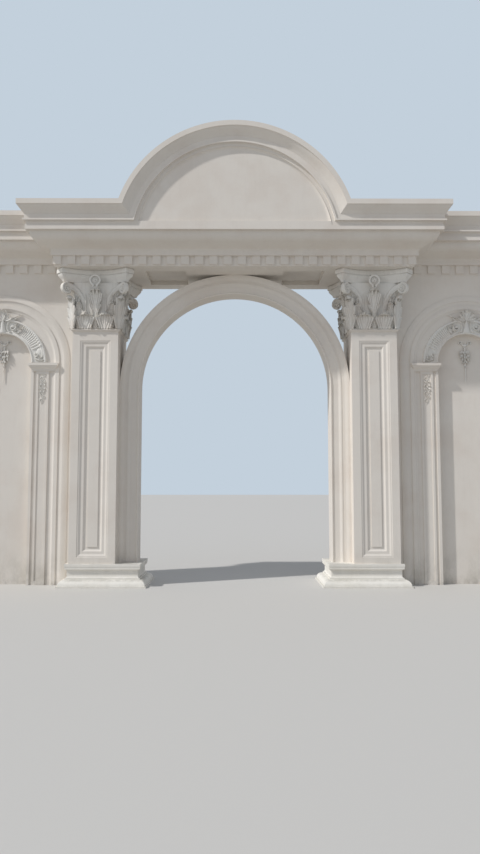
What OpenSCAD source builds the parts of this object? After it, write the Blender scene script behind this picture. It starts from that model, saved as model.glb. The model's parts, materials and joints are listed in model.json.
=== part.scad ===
// A white park gate in the classical manner: a round arch on panelled piers with leaf capitals,
// a dentil entablature whose cornice rises into a round pediment, and a blind arch bay on each side.
// Millimetres. X runs along the gate, Y from front to back, Z up. The origin is on the ground,
// in the middle of the passage.

/* [Passage] */
// Clear width between the jambs
opening_w = 2720; // [2500:10:2900]
// Height at which the round arch starts
spring_z = 2772; // [2600:2:2900]
// Width of the arch ring seen from the front
ring_w = 278; // [260:2:300]
// Depth of the ring's plain face from front to back
ring_d = 270; // [220:10:320]

/* [Piers] */
// Width of a pier's shaft
pier_w = 640; // [600:10:700]
// Depth of a pier's shaft
pier_d = 700; // [660:10:760]
// Height of the moulded base under pier and jamb
base_h = 311; // [300:1:330]
// Plain margin round the sunk panel
panel_margin = 108; // [90:2:120]
// Width of the stepped moulding round the raised strip
panel_mould = 141; // [120:1:150]
// Height of the capital with its abacus
capital_h = 838; // [800:2:880]
// Height of the abacus alone
abacus_h = 180; // [150:2:200]

/* [Entablature] */
// How far the dentils' front stands out from the pier's shaft
beam_out = 240; // [220:2:260]
// Height of the plain strip under the dentils
strip_h = 18; // [12:1:40]
// Height of the dentils
dentil_h = 118; // [90:1:130]
// Width of one dentil
dentil_w = 112; // [80:1:130]
// Distance from one dentil to the next, before it is fitted to a side
dentil_pitch = 196; // [180:2:220]
// How far a dentil stands out from its band
dentil_out = 25; // [15:1:35]
// Height of the large ogee over the dentils, with the plain band at its foot
ogee_h = 266; // [240:2:300]
// How far the corona stands out over the dentils
corona_out = 305; // [280:1:330]
// Height of the corona's plain face
corona_h = 62; // [50:1:80]
// Height of the crowning moulding, the part that turns into the pediment
crown_h = 320; // [300:2:340]
// How far the top fillet stands out over the dentils
crown_out = 402; // [380:1:430]

/* [Pediment] */
// Outer radius of the round pediment
pediment_r = 1646; // [1600:2:1700]
// Height of the pediment's centre above the underside of the entablature
pediment_rise = 230; // [200:5:260]
// How far the tympanum lies behind the corona's face
tympanum_in = 30; // [10:1:60]

/* [Side bays] */
// Length of a blind arch bay
bay_w = 2084; // [2060:4:2120]
// Thickness of the side walls
wall_t = 300; // [260:10:340]
// Radius of the niche's round head
niche_r = 415; // [400:1:420]
// Depth of the niche in each face
niche_d = 80; // [50:5:90]
// Height at which the blind arch starts
niche_spring_z = 3130; // [3000:5:3200]

/* [Hidden] */

// Colours of the limewashed render, the carved work and the foot of the walls
lime = "#ece7dc";
lime_shade = "#e2dccf";
carved = "#f2eee4";

// Steps along each drawn curve, and facets round the turned arches
curve_n = 10;
arch_fn = 192;
// More than half the gate in any direction
far = 6000;

// Passage and piers
ring_ri = opening_w / 2;
ring_ro = ring_ri + ring_w;
pier_x = ring_ro + pier_w / 2;
pier_out_x = ring_ro + pier_w;
beam_z = spring_z + ring_ro;
capital_z = beam_z - capital_h;
abacus_z = beam_z - abacus_h;
astragal_h = 40;
shaft_top_z = capital_z - astragal_h;

// Base block under pier and jamb
base_lap = 40;
base_face = 9;
base_half_x = (pier_w + ring_w + base_lap + base_face) / 2;
base_x = ring_ri - base_lap + base_half_x;
base_half_y = pier_d / 2 + base_face;

// Entablature levels
dentil_z = beam_z + strip_h;
ogee_z = dentil_z + dentil_h;
corona_z = ogee_z + ogee_h;
crown_z = corona_z + corona_h;
top_z = crown_z + crown_h;
face_x = pier_out_x + beam_out - 4;
face_y = pier_d / 2 + beam_out;

// Crowning moulding from its foot up: groove, thin fillet, plain band, leaning curve, top fillet
groove_h = 54;
groove_out = 296;
fillet_h = 22;
fillet_out = 334;
crown_band_h = 70;
crown_band_out = 315;
cyma_z = groove_h + fillet_h + crown_band_h;
top_fillet_h = 68;

// Pediment: the crown's height z above the ground becomes the radius z - pediment_drop
pediment_z = beam_z + pediment_rise;
pediment_drop = top_z - pediment_r;
tympanum_r = crown_z - pediment_drop;
tympanum_cove = 40;
tympanum_band_h = 50;

// Side bays
wall_out_x = pier_out_x + bay_w;
niche_x = pier_out_x + bay_w / 2;
wall_face = wall_t / 2;
wall_band_out = 5;
wall_dentil_face = wall_face + wall_band_out + dentil_out;
blind_ro = 960;
blind_step_r = 816;
blind_ri = 728;
pilaster_r0 = 494;
pilaster_r1 = 670;
pilaster_out = 16;
bead_r1 = 455;
impost_h = 117;
impost_z = niche_spring_z - 12 - impost_h;
shell_ro = 630;

// Points on a line from a to b that leans more in its middle than at its ends: bend 0 keeps it
// straight, and at 1 both ends are upright
function ogee(a, b, n = curve_n, bend = 0.8) =
    [for (i = [0:n]) let (t = i / n, s = t - bend * sin(360 * t) / (2 * PI))
        [a[0] + (b[0] - a[0]) * s, a[1] + (b[1] - a[1]) * t]];

// Points on an arc about c
function arc(c, r, a0, a1, n = curve_n) =
    [for (i = [0:n]) let (a = a0 + (a1 - a0) * i / n) [c[0] + r * cos(a), c[1] + r * sin(a)]];

// Closed outline of a moulding that stands out by p[0] from two faces, half apart from the middle
function both_sides(profile, half) = concat(
    [for (p = profile) [half + p[0], p[1]]],
    [for (i = [len(profile) - 1:-1:0]) [-half - profile[i][0], profile[i][1]]]);

// Height above the ground added to each point of a profile
function raised(profile, z) = [for (p = profile) [p[0], p[1] + z]];

// A section in Y and Z, drawn out along X
module along_x(x0, x1) {
    translate([x0, 0, 0]) rotate([90, 0, 90]) linear_extrude(x1 - x0) children();
}

// A section in X and Z, drawn out along Y
module along_y(y0, y1) {
    translate([0, y1, 0]) rotate([90, 0, 0]) linear_extrude(y1 - y0) children();
}

// A ring about an axis along Y, through the middle of the passage at height z
module turned(z, angle = 180) {
    translate([0, 0, z]) rotate([90, 0, 0]) rotate_extrude(angle = angle, $fn = arch_fn) children();
}

// A moulding with mitred corners round a block, from its profile of distance out and height
module wrapped(profile, half_x, half_y) {
    intersection() {
        along_x(-far, far) polygon(both_sides(profile, half_y));
        along_y(-far, far) polygon(both_sides(profile, half_x));
    }
}

// The same thing on both sides of the gate
module on_side(side) {
    if (side < 0) mirror([1, 0, 0]) children();
    else children();
}

// The same thing on the front and on the back
module front_and_back() {
    children();
    mirror([0, 1, 0]) children();
}

// Base: bottom fillet, quarter round, small step, plain die, hollow and top fillet
base_profile = concat(
    [[124, 0], [124, 24]],
    arc([26, 24], 82, 0, 90),
    [[26, 124]],
    arc([26, 150], 26, 270, 180, 5),
    [[0, 212]],
    arc([30, 212], 30, 180, 90, 6),
    [[30, 276], [34, 276], [34, base_h]]);

// Plan of everything that stands against the pier's outer side, which the mouldings there fit round
module side_wall_plan() {
    translate([pier_out_x, -wall_face]) square([far, wall_t]);
    polygon([for (p = blind_profile) [niche_x - p[0], wall_face - 5 + p[1]]]);
    mirror([0, 1]) polygon([for (p = blind_profile) [niche_x - p[0], wall_face - 5 + p[1]]]);
}

module base(side) {
    color(lime_shade) on_side(side) difference() {
        translate([base_x, 0, 0]) wrapped(base_profile, base_half_x, base_half_y);
        translate([0, 0, -1]) linear_extrude(base_h + 2) side_wall_plan();
    }
}

// Sunk panel: distance in from the panel's edge and depth below the shaft's face
panel_steps = concat(
    [[0, 0], [4, 5], [14, 5]],
    [for (i = [0:6]) [14 + 6 * i, 5 + 13 * (1 - cos(30 * i)) / 2]],
    [[78, 18]],
    [for (i = [1:6]) [78 + 5 * i, 18 + 16 * (1 - cos(30 * i)) / 2]]);
panel_depth = 34;
strip_depth = 24;

// Outline of the hollow across the panel's half width w: position along, depth
function panel_section(w) = concat(
    [[-w, -50]],
    [for (p = panel_steps) [-w + p[0], p[1]]],
    [for (i = [len(panel_steps) - 1:-1:0]) [w - panel_steps[i][0], panel_steps[i][1]]],
    [[w, -50]]);

// The hollow of one sunk panel in the face y = 0, middle at x = 0, from z0 to z1
module panel_hollow(half_w, z0, z1) {
    half_h = (z1 - z0) / 2;
    difference() {
        intersection() {
            translate([0, 0, z0]) linear_extrude(z1 - z0) polygon(panel_section(half_w));
            translate([0, 0, (z0 + z1) / 2]) rotate([0, -90, 0]) linear_extrude(2 * half_w, center = true)
                polygon(panel_section(half_h));
        }
        translate([-half_w + panel_mould, strip_depth, z0 + panel_mould])
            cube([2 * (half_w - panel_mould), panel_depth, z1 - z0 - 2 * panel_mould]);
    }
}

module pier(side) {
    color(lime) on_side(side) translate([pier_x, 0, 0]) difference() {
        translate([-pier_w / 2, -pier_d / 2, base_h]) cube([pier_w, pier_d, shaft_top_z - base_h]);
        front_and_back() translate([0, -pier_d / 2, 0])
            panel_hollow(pier_w / 2 - panel_margin, base_h + 87, shaft_top_z - 125);
    }
}

// Neck ring: hollow, bead and fillet
astragal_profile = concat(
    [[0, 0]],
    arc([0, 14], 14, 270, 360, 4),
    arc([14, 26], 12, 270, 450, 6),
    [[6, 38], [6, astragal_h]]);

module astragal(side) {
    color(lime) on_side(side) difference() {
        translate([pier_x, 0, shaft_top_z]) wrapped(astragal_profile, pier_w / 2, pier_d / 2);
        translate([0, 0, shaft_top_z - 1]) linear_extrude(astragal_h + 2) side_wall_plan();
    }
}

// Bell of the capital: upright foot, slow flare and thin lip under the abacus
bell_h = abacus_z - capital_z;
bell_in = 6;
bell_flare_z = 360;
bell_lip_h = 34;
bell_lip_out = 14;
bell_lip_z = bell_h - bell_lip_h;
bell_profile = concat(
    [[-bell_in, 0]],
    [for (i = [0:6]) let (t = i / 6)
        [-bell_in + (bell_lip_out - 2 + bell_in) * t * t, bell_flare_z + (bell_lip_z - bell_flare_z) * t]],
    [[bell_lip_out, bell_lip_z], [bell_lip_out, bell_h]]);

// A closed solid through a row of rings, each with the same number of points
module loft(rings) {
    n = len(rings[0]);
    last = len(rings) - 1;
    polyhedron(
        points = [for (ring = rings) each ring],
        faces = concat(
            [[for (j = [0:n - 1]) j]],
            [for (i = [0:last - 1], j = [0:n - 1])
                [i * n + j, (i + 1) * n + j, (i + 1) * n + (j + 1) % n, i * n + (j + 1) % n]],
            [[for (j = [n - 1:-1:0]) last * n + j]]));
}

// How far a leaf leans out from upright at the share t of its length, in degrees. The last part of
// it, always as long, turns over
leaf_rings = 14;
leaf_lean = 8;
hood_len = 95;
function leaf_angle(t, length, curl) = let (start = 1 - hood_len / length) t < start
    ? leaf_lean * t / start
    : leaf_lean + (curl - leaf_lean) * (t - start) / (1 - start);

// Middle line of a leaf of that length: distance out, height and lean at each ring
function leaning(a) = [sin(a), cos(a)];
function leaf_spine(length, curl) = let (step = length / leaf_rings)
    [for (i = 0, p = [0, 0]; i <= leaf_rings;
            p = p + step * leaning(leaf_angle((i + 0.5) / leaf_rings, length, curl)), i = i + 1)
        [p[0], p[1], leaf_angle(i / leaf_rings, length, curl)]];

// Share of a leaf's full half width at the share t of its length, with three lobes on each side
function leaf_lobes(t, foot) =
    (foot + (1 - foot) * sin(min(90, 170 * t))) * sqrt(1 - 0.96 * pow(t, 3))
    * (1 - 0.13 * pow(cos(540 * t), 2));

// How far the front of a leaf stands out from its back at the share u across it
function leaf_swell(u) = 1 - 0.75 * pow(abs(u), 1.6);

// One leaf that climbs the plane y = 0 and turns its tip over towards -y; foot is the share of its
// width that it starts with
leaf_t = 27;
module leaf(width, length, curl, foot) {
    spine = leaf_spine(length, curl);
    loft([for (i = [0:leaf_rings])
        let (t = i / leaf_rings, s = spine[i], half = width / 2 * leaf_lobes(t, foot))
        concat(
            [for (u = [-1, -0.5, 0, 0.5, 1]) let (d = leaf_t * leaf_swell(u) * (1 - 0.3 * t))
                [u * half, -s[0] - d * cos(s[2]), s[1] - d * sin(s[2])]],
            [for (u = [0.9, -0.9]) [u * half, -s[0], s[1]]])]);
}

// Corner scroll in the plane y = 0, wound in from its outer turn
volute_r = 92;
volute_t = 60;
volute_rim = 12;
volute_eye = 20;
scroll_turns = 1.5;
scroll_band = 34;
scroll_n = 24;
function scroll_point(t, inset) =
    let (r = volute_r * (1 - 0.60 * t) - inset, a = 100 - 360 * scroll_turns * t) [r * cos(a), r * sin(a)];
module volute() {
    along_y(-volute_t / 2 + volute_rim, volute_t / 2 - volute_rim) circle(r = volute_r - 10, $fn = 64);
    along_y(-volute_t / 2, volute_t / 2) {
        polygon(concat(
            [for (i = [0:scroll_n]) scroll_point(i / scroll_n, 0)],
            [for (i = [scroll_n:-1:0]) scroll_point(i / scroll_n, scroll_band * (1 - 0.4 * i / scroll_n))]));
        circle(r = volute_eye, $fn = 32);
    }
}

// Stem that climbs the bell from x0, widens and swings over to the corner scroll at x1, out in front
stem_n = 10;
stem_foot = 262;
stem_rise = 342;
stem_w = 50;
stem_t = 34;
function stem_ring(x0, x1, out, t) = let (
    x = x0 + (x1 - x0) * (1 - cos(88 * t)), z = stem_foot + stem_rise * sin(88 * t),
    y = -out * pow(t, 2.2), wide = stem_w / 2 * (1 + 0.75 * t), a = 78 * pow(t, 1.4),
    dx = wide * cos(a), dz = -wide * sin(a))
    [[x - dx, y, z - dz], [x - dx, y - stem_t, z - dz], [x + dx, y - stem_t, z + dz], [x + dx, y, z + dz]];
module stem(x0, x1, out) {
    loft([for (i = [0:stem_n]) stem_ring(x0, x1, out, i / stem_n)]);
}

// Carving on one side of the bell, on the plane y = 0; half is the side's half width
leaf_curl = 115;
low_leaf_at = 0.43;
low_leaf_w = 0.9;
low_leaf_len = 300;
centre_z = 236;
centre_leaf_w = 0.79;
centre_leaf_len = 382;
module side_leaves(half) {
    for (s = [-1, 1]) translate([s * half * low_leaf_at, 0, 0])
        leaf(half * low_leaf_w, low_leaf_len, leaf_curl, 1);
}
module centre_leaf(half) {
    translate([0, 0, centre_z]) leaf(half * centre_leaf_w, centre_leaf_len, leaf_curl, 0.7);
}
module side_stems(half, scroll) {
    for (s = [-1, 1]) mirror([s < 0 ? 1 : 0, 0, 0]) stem(half * 0.47, half + scroll - 24, scroll - 20);
}

// Tall leaf and scroll on the corner at sx, sy
scroll_out = 60;
corner_in = 4;
corner_leaf_w = 200;
corner_leaf_len = 498;
module capital_corner(sx, sy) {
    turn = sy < 0 ? sx * 45 : 180 - sx * 45;
    translate([sx * (pier_w / 2 - corner_in), sy * (pier_d / 2 - corner_in), 0])
        rotate([0, 0, turn]) leaf(corner_leaf_w, corner_leaf_len, leaf_curl, 0.28);
    translate([sx * (pier_w / 2 + scroll_out), sy * (pier_d / 2 + scroll_out), bell_h - volute_r - 6])
        rotate([0, 0, sx * sy > 0 ? 45 : -45]) mirror([sx < 0 ? 1 : 0, 0, 0]) volute();
}

module capital(side) {
    color(carved) on_side(side) translate([pier_x, 0, capital_z])
        wrapped(bell_profile, pier_w / 2, pier_d / 2);
}

module capital_carving(side) {
    half_x = pier_w / 2;
    half_y = pier_d / 2;
    color(carved) on_side(side) translate([pier_x, 0, capital_z]) {
        front_and_back() translate([0, bell_in - half_y, 0]) {
            side_leaves(half_x);
            centre_leaf(half_x);
            side_stems(half_x, scroll_out);
        }
        rotate([0, 0, -90]) translate([0, bell_in - half_x, 0]) {
            side_leaves(half_y);
            centre_leaf(half_y);
            side_stems(half_y, scroll_out);
        }
        difference() {
            rotate([0, 0, 90]) translate([0, bell_in - half_x, 0]) {
                side_leaves(half_y);
                side_stems(half_y, scroll_out);
            }
            translate([0, -wall_face - 2, -1]) cube([far, wall_t + 4, bell_h]);
        }
        for (sx = [-1, 1], sy = [-1, 1]) capital_corner(sx, sy);
    }
}

// Plan of the abacus: horns cut at the corners and hollow sides, all drawn in by inset, the horns
// more than the hollows' middles
abacus_half_x = 545;
abacus_half_y = 520;
horn = 100;
hollow = 150;
function hollow_side(half, at, inset) =
    [for (i = [0:20]) let (t = -1 + i / 10)
        [t * (half - horn), -(at - inset - (hollow - inset / 2) * (1 - t * t))]];
function quarter_turn(points) = [for (p = points) [-p[1], p[0]]];
function half_turn(points) = [for (p = points) [-p[0], -p[1]]];
function abacus_plan(inset) = let (
    front = hollow_side(abacus_half_x - inset * 0.15, abacus_half_y, inset),
    right = quarter_turn(hollow_side(abacus_half_y - inset * 0.15, abacus_half_x, inset)))
    concat(front, right, half_turn(front), half_turn(right));

// Steps of the abacus from its foot up, each with its height and how far it is drawn in: a curve
// that leans out from the foot, a fine line and the plain face over it
abacus_foot_in = 84;
abacus_neck_in = 14;
abacus_neck_z = 100;
abacus_line_in = 20;
abacus_line_z = 106;
abacus_face_z = 114;
abacus_steps = concat(
    [for (p = ogee([abacus_foot_in, 0], [abacus_neck_in, abacus_neck_z], 9, 0.5)) [p[1], p[0]]],
    [[abacus_line_z, abacus_line_in], [abacus_face_z, 0]]);
function step_top(i) = i + 1 < len(abacus_steps) ? abacus_steps[i + 1][0] : abacus_h;
module abacus_block() {
    for (i = [0:len(abacus_steps) - 1]) let (z = abacus_steps[i][0])
        translate([0, 0, z]) linear_extrude(step_top(i) - z) polygon(abacus_plan(abacus_steps[i][1]));
}

// Ring flower in front of each hollow side, with a bud in it and a stalk that reaches back over the bell
flower_z = 8;
flower_r = 72;
flower_out = 60;
petal = 17;
stalk_r = 26;
module flower() {
    difference() {
        translate([0, -flower_out, flower_z]) rotate([-90, 0, 0])
            cylinder(r = stalk_r, h = flower_out + 90, $fn = 32);
        translate([-stalk_r - 1, 4, -stalk_r * 2]) cube([2 * stalk_r + 2, 100, stalk_r * 2]);
    }
    translate([0, -flower_out, flower_z]) rotate([-90, 0, 0]) {
        translate([0, 0, petal + 6]) cylinder(r = flower_r - petal, h = 14, $fn = 48);
        translate([0, 0, petal]) rotate_extrude($fn = 48) translate([flower_r - petal, 0])
            circle(r = petal, $fn = 16);
        translate([0, 0, petal]) sphere(r = 27, $fn = 32);
    }
}

module abacus(side) {
    color(carved) on_side(side) difference() {
        translate([pier_x, 0, abacus_z]) {
            abacus_block();
            front_and_back() translate([0, hollow - abacus_half_y, 0]) flower();
            rotate([0, 0, -90]) translate([0, hollow - abacus_half_x, 0]) flower();
        }
        translate([0, 0, abacus_z - 1]) linear_extrude(capital_h) side_wall_plan();
    }
}

// Section of the arch ring: radius and how far its face stands out
ring_profile = concat(
    [[ring_ri, 4]],
    arc([ring_ri + 14, 2], 13, 170, 10, 6),
    [[ring_ri + 28, 0], [ring_ri + 110, 0]],
    [for (i = [1:8]) [ring_ri + 110 + 5.5 * i, 15 * (1 - cos(22.5 * i)) / 2]],
    [[ring_ri + 162, 15], [ring_ri + 162, 10], [ring_ri + 184, 10], [ring_ri + 184, 18],
        [ring_ri + 196, 18]],
    [for (i = [1:8]) [ring_ri + 196 + 7 * i, 18 + 12 * (1 - cos(22.5 * i)) / 2]],
    [[ring_ro, 30]]);
module ring_section() {
    polygon(concat(
        [for (p = ring_profile) [p[0], ring_d / 2 + p[1]]],
        [for (i = [len(ring_profile) - 1:-1:0]) [ring_profile[i][0], -ring_d / 2 - ring_profile[i][1]]]));
}

module jamb(side) {
    color(lime) on_side(side) translate([0, 0, base_h]) linear_extrude(spring_z - base_h) ring_section();
}

module arch_ring(side) {
    color(lime) on_side(side) turned(spring_z, 90) ring_section();
}

// Middles of n + 1 dentils from a to b
function dentil_places(a, b, n) = [for (i = [0:n]) a + (b - a) * i / n];
function dentil_count(length) = round(length / dentil_pitch);

// One dentil with its front at y
module dentil(x, y) {
    translate([x - dentil_w / 2, -y, dentil_z]) cube([dentil_w, dentil_out + 30, dentil_h]);
}

// Dentils along X from a to b, standing out in front of the face at y
module dentil_row(a, b, y) {
    for (x = dentil_places(a, b, dentil_count(b - a))) dentil(x, y);
}

// Shallow panels in the beam's underside over the passage, with the block between them that the
// arch's crown bears on
soffit_half_x = ring_ri - 90;
soffit_half_y = 340;
soffit_d = 60;
crown_block_half_x = 700;
module dentil_beam() {
    color(lime) {
        difference() {
            translate([-face_x + dentil_out, -face_y + dentil_out, beam_z])
                cube([2 * (face_x - dentil_out), 2 * (face_y - dentil_out), strip_h + dentil_h]);
            difference() {
                translate([-soffit_half_x, -soffit_half_y, beam_z - 1])
                    cube([2 * soffit_half_x, 2 * soffit_half_y, soffit_d + 1]);
                translate([-crown_block_half_x, -far, beam_z - 2])
                    cube([2 * crown_block_half_x, 2 * far, soffit_d + 3]);
            }
        }
        edge_x = face_x - dentil_w / 2;
        edge_y = face_y - dentil_w / 2;
        front_and_back() dentil_row(-edge_x, edge_x, face_y);
        for (s = [-90, 90], y = dentil_places(-edge_y, edge_y, dentil_count(2 * edge_y)))
            if (abs(y) > wall_dentil_face + dentil_w / 2) rotate([0, 0, s]) dentil(y, face_x);
    }
}

// Bed moulding: plain band, small hollow, a straight part that rises by straight_rise degrees and a
// large round that ends upright, some way behind the corona's face
ogee_band_out = 26;
ogee_band_h = 65;
ogee_hollow_r = 26;
ogee_round_r = 120;
ogee_top_out = 258;
ogee_top_h = 14;
straight_rise = 20;
ogee_profile = concat(
    [[ogee_band_out, 0]],
    arc([ogee_band_out + ogee_hollow_r, ogee_band_h], ogee_hollow_r, 180, 90 + straight_rise, 4),
    arc([ogee_top_out - ogee_round_r, ogee_h - ogee_top_h], ogee_round_r, 270 + straight_rise, 360, 10),
    [[ogee_top_out, ogee_h]]);
corona_profile = [[corona_out, 0], [corona_out, corona_h]];
crown_profile = concat(
    [[groove_out, 0], [groove_out, groove_h - 6], [groove_out + 6, groove_h],
        [fillet_out, groove_h], [fillet_out, groove_h + fillet_h],
        [crown_band_out, groove_h + fillet_h], [crown_band_out, cyma_z]],
    ogee([crown_band_out + 3, cyma_z], [crown_out - 12, crown_h - top_fillet_h], 8, 0.3),
    [[crown_out, crown_h - top_fillet_h], [crown_out, crown_h]]);

module bed_moulding() {
    color(lime) wrapped(raised(ogee_profile, ogee_z), face_x, face_y);
}

module corona() {
    color(lime) wrapped(raised(corona_profile, corona_z), face_x, face_y);
}

// Where the level crown and the round one meet: both have the same height or radius here
function mitre_x(z) = sqrt(pow(z - pediment_drop, 2) - pow(z - pediment_z, 2));
mitre_n = 8;
module pediment_front() {
    right = [for (i = [0:mitre_n]) let (z = crown_z + crown_h * i / mitre_n) [mitre_x(z), z]];
    polygon(concat(
        right, [[mitre_x(top_z), far * 2], [-mitre_x(top_z), far * 2]],
        [for (i = [mitre_n:-1:0]) [-right[i][0], right[i][1]]]));
}

module cymatium(side) {
    color(lime) on_side(side) difference() {
        intersection() {
            wrapped(raised(crown_profile, crown_z), face_x, face_y);
            translate([0, -far, 0]) cube([2 * far, 2 * far, 2 * far]);
        }
        along_y(-far, far) pediment_front();
    }
}

module pediment_arch() {
    color(lime) intersection() {
        turned(pediment_z) polygon(concat(
            [for (p = crown_profile) [tympanum_r + p[1], face_y + p[0]]],
            [for (i = [len(crown_profile) - 1:-1:0])
                [tympanum_r + crown_profile[i][1], -face_y - crown_profile[i][0]]]));
        along_y(-far, far) pediment_front();
    }
}

// Hollow edge of the tympanum: distance in from its rim and how far its face lies back. A plain band
// along its foot stands flush with the corona
cove = [for (i = [0:6]) [tympanum_cove * (1 - cos(15 * i)), tympanum_in * sin(15 * i)]];
module tympanum() {
    rim = face_y + corona_out;
    color(lime) intersection() {
        union() {
            turned(pediment_z) polygon(concat(
                [[0, rim - tympanum_in]],
                [for (i = [6:-1:0]) [tympanum_r - cove[i][0], rim - cove[i][1]]],
                [for (i = [0:6]) [tympanum_r - cove[i][0], -rim + cove[i][1]]],
                [[0, -rim + tympanum_in]]));
            intersection() {
                translate([-far, -rim, crown_z]) cube([2 * far, 2 * rim, tympanum_band_h]);
                turned(pediment_z) translate([0, -far]) square([tympanum_r, 2 * far]);
            }
        }
        translate([-far, -far, crown_z]) cube(2 * far);
    }
}

// Section of the blind arch's surround: radius about the niche's middle, distance out from the wall
blind_profile = concat(
    [[blind_ro, 0], [blind_ro, 10]],
    [for (i = [1:6]) [blind_ro - 12 * i, 10 + 16 * sin(15 * i)]],
    [[blind_ro - 78, 26], [blind_ro - 80, 20]],
    [for (i = [1:5]) [blind_ro - 80 - 12 * i, 20 - 10 * sin(18 * i)]],
    [[blind_step_r, 10], [blind_step_r, 24], [blind_step_r - 50, 24]],
    [for (i = [1:5]) [blind_step_r - 50 - 8 * i, 24 - 18 * sin(18 * i)]],
    [[blind_ri, 6], [blind_ri, 0]]);

// A surround from its section: two upright legs and the round head, on the front of the wall
module surround(profile, z0, z1) {
    for (s = [-1, 1]) translate([0, 0, z0]) linear_extrude(z1 - z0)
        polygon([for (p = profile) [s * p[0], -wall_face - p[1]]]);
    turned(z1) polygon([for (p = profile) [p[0], wall_face + p[1]]]);
}

module blind_arch(side) {
    color(lime) on_side(side) translate([niche_x, 0, 0]) front_and_back()
        surround(blind_profile, 0, niche_spring_z + 10);
}

module wall(side) {
    color(lime) on_side(side) difference() {
        translate([pier_out_x, -wall_face, 0]) cube([bay_w, wall_t, beam_z]);
        translate([niche_x, 0, 0]) front_and_back() {
            translate([-niche_r, -wall_face - 1, -1])
                cube([2 * niche_r, niche_d + 1, niche_spring_z + 1]);
            along_y(-wall_face - 1, -wall_face + niche_d)
                translate([0, niche_spring_z]) circle(r = niche_r, $fn = arch_fn);
        }
    }
}

// Pilaster beside the niche, with its sunk strip, and the bead at the niche's edge
module niche_pilaster() {
    w = pilaster_r1 - pilaster_r0;
    difference() {
        translate([pilaster_r0, -wall_face - pilaster_out, 0]) cube([w, pilaster_out, impost_z]);
        translate([pilaster_r0 + 30, -wall_face - pilaster_out - 1, 60])
            cube([w - 60, 11, impost_z - 100]);
    }
    translate([niche_r, -wall_face - pilaster_out, 0]) cube([bead_r1 - niche_r, pilaster_out, impost_z]);
}

module niche_pilasters(side) {
    color(lime) on_side(side) translate([niche_x, 0, 0]) front_and_back()
        for (s = [-1, 1]) scale([s, 1, 1]) niche_pilaster();
}

// Impost: plain foot, ogee and slab
impost_profile = concat([[0, 0], [0, 14]], ogee([4, 16], [34, 78], 8), [[42, 80], [42, impost_h]]);
impost_r0 = 427;
impost_r1 = 762;
module impost() {
    half = (impost_r1 - impost_r0) / 2;
    intersection() {
        translate([impost_r0 + half, 0, impost_z]) wrapped(impost_profile, half, wall_face + 24);
        translate([0, -far, 0]) cube([2 * far, far - wall_face, 2 * far]);
    }
}

module imposts(side) {
    color(lime) on_side(side) translate([niche_x, 0, 0]) front_and_back()
        for (s = [-1, 1]) scale([s, 1, 1]) impost();
}

// Round head of the niche: bead at its edge, shallow hollow for the ribs and an outer roll
shell_profile = concat(
    [[niche_r, 0], [niche_r, 14]],
    arc([niche_r + 12, 16], 12, 180, 20, 5),
    [for (i = [0:8]) [niche_r + 30 + 20 * i, 14 - 8 * sin(22.5 * i)]],
    arc([shell_ro - 18, 16], 17, 170, 0, 6),
    [[shell_ro, 0]]);
module niche_arch(side) {
    color(carved) on_side(side) translate([niche_x, 0, 0]) front_and_back()
        turned(niche_spring_z) polygon([for (p = shell_profile) [p[0], wall_face + p[1]]]);
}

// Fan of leaves over the crown of the niche, on a wedge between two small scrolls
fan_n = 7;
fan_z = 160;
fan_r = 150;
fan_lobe = 26;
fan_out = 58;
wedge_half = 48;
key_scroll_x = 118;
key_scroll_z = 92;
key_scroll_r = 56;
function fan_edge(t) = fan_r + fan_lobe * abs(sin(fan_n * 180 * t));
module keystone() {
    z = niche_spring_z + niche_r;
    along_y(-wall_face - fan_out, -wall_face) {
        polygon(concat(
            [[-wedge_half, z + 22], [wedge_half, z + 22]],
            [for (i = [0:fan_n * 4]) let (t = i / (fan_n * 4), a = 12 + 156 * t)
                [fan_edge(t) * cos(a) * 0.66, z + fan_z + fan_edge(t) * sin(a)]]));
        for (s = [-1, 1]) translate([s * key_scroll_x, z + key_scroll_z])
            circle(r = key_scroll_r, $fn = 32);
    }
}

module keystones(side) {
    color(carved) on_side(side) translate([niche_x, 0, 0]) front_and_back() keystone();
}

// Hanging drop of leaves in the head of the niche
drop_top = niche_spring_z + 330;
drop_len = 595;
drop_wide = 100;
function drop_half(t) = drop_wide * (0.28 + 0.72 * pow(sin(180 * pow(t, 0.55)), 2))
    * (0.85 + 0.15 * cos(5 * 360 * t));
module drop() {
    along_y(-wall_face + niche_d - 48, -wall_face + niche_d) polygon(concat(
        [for (i = [0:20]) [drop_half(i / 20), drop_top - drop_len * i / 20]],
        [for (i = [20:-1:0]) [-drop_half(i / 20), drop_top - drop_len * i / 20]]));
}

module drops(side) {
    color(carved) on_side(side) translate([niche_x, 0, 0]) front_and_back() drop();
}

// A moulding on both faces of a side wall, fitted to the gate's own end and cut plain at the wall's
module wall_moulding(profile) {
    intersection() {
        along_x(0, wall_out_x) polygon(both_sides(profile, wall_dentil_face));
        along_y(-far, far) polygon(concat(
            [for (p = profile) [face_x + p[0], p[1]]],
            [[far, profile[len(profile) - 1][1]], [far, profile[0][1]]]));
    }
}

module wall_dentil_beam(side) {
    face = wall_face + wall_band_out;
    inner = face_x - dentil_out;
    first = face_x + 126;
    last = wall_out_x - dentil_w / 2 - 40;
    color(lime) on_side(side) {
        translate([inner, -face, beam_z]) cube([wall_out_x - inner, 2 * face, strip_h + dentil_h]);
        front_and_back() dentil_row(first, last, wall_dentil_face);
    }
}

module wall_bed_moulding(side) {
    color(lime) on_side(side) wall_moulding(raised(ogee_profile, ogee_z));
}

module wall_corona(side) {
    color(lime) on_side(side) wall_moulding(raised(corona_profile, corona_z));
}

module wall_cymatium(side) {
    color(lime) on_side(side) wall_moulding(raised(crown_profile, crown_z));
}

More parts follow.
